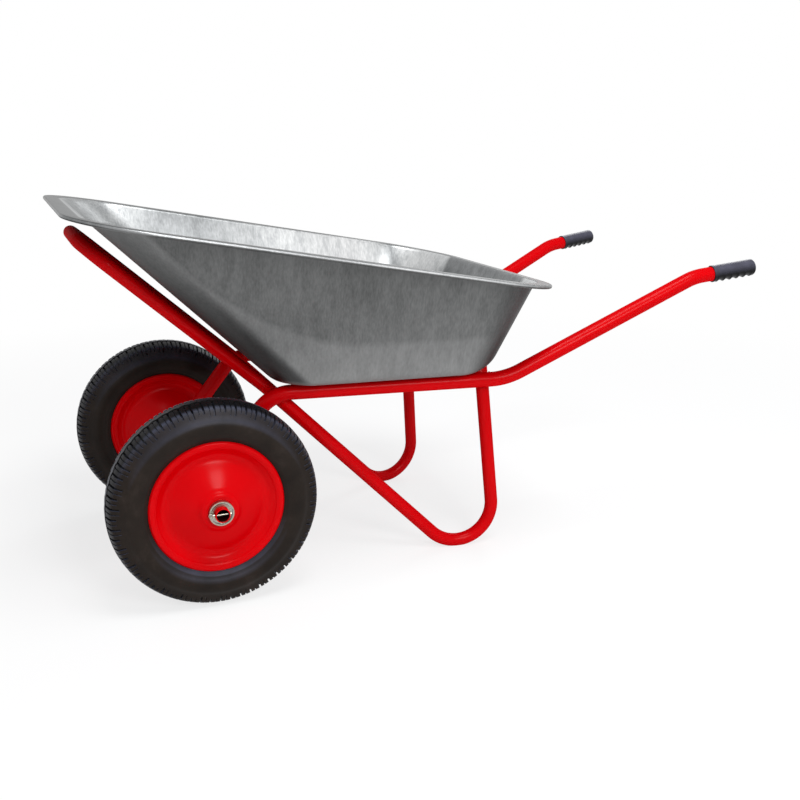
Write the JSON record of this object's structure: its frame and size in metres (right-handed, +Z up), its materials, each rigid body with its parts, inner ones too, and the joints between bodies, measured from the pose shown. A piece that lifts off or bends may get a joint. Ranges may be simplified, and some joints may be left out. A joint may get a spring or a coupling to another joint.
{
  "type": "two wheel wheelbarrow",
  "caption": "Garden barrow with a flared galvanised tray on a bent red tube frame, pneumatic wheels on one axle in front, looped legs and long handles.",
  "frame": {"origin": "on the ground, midway between the front edge of the tray and the tips of the grips, in the middle plane", "axes": "+X back to the grips, -Y to the operator's left, +Z up"},
  "size_m": [1.2828, 0.6658, 0.67],
  "materials": {
    "red_paint": "gloss red enamel",
    "galvanised": "galvanised sheet with fine upright streaks",
    "zinc": "zinc plated",
    "bearing_steel": "ground bearing steel",
    "tyre": "black rubber with a dull sheen",
    "tube_rubber": "soft black rubber",
    "grip": "dark moulded plastic"
  },
  "bodies": {
    "frame": {"handle_left": "red_paint", "handle_right": "red_paint", "leg_loop": "red_paint", "grip_left": "grip", "grip_right": "grip", "axle": "red_paint", "axle_spacers": "zinc", "axle_washers": "zinc", "cotter_pins": "zinc", "bearing_inner_rings": "bearing_steel", "tray": "galvanised", "tray_bolts": "zinc", "tray_washers": "zinc", "rivet_nuts": "zinc"},
    "wheel_left": {"tyre_left": "tyre", "inner_tube_left": "tube_rubber", "valve_cap_left": "grip", "rim_left": "red_paint", "disc_outer_left": "red_paint", "disc_inner_left": "red_paint", "hub_left": "zinc", "bearing_outer_rings_left": "bearing_steel", "bearing_balls_left": "bearing_steel"},
    "wheel_right": {"tyre_right": "tyre", "inner_tube_right": "tube_rubber", "valve_cap_right": "grip", "rim_right": "red_paint", "disc_outer_right": "red_paint", "disc_inner_right": "red_paint", "hub_right": "zinc", "bearing_outer_rings_right": "bearing_steel", "bearing_balls_right": "bearing_steel"}
  },
  "joints": [
    {"name": "wheel_left_spin", "type": "hinge", "parent": "frame", "child": "wheel_left", "pos_m": [-0.43438, -0.247, 0.18], "axis": [0, 1, 0], "continuous": true},
    {"name": "wheel_right_spin", "type": "hinge", "parent": "frame", "child": "wheel_right", "pos_m": [-0.43438, 0.247, 0.18], "axis": [0, 1, 0], "continuous": true}
  ]
}
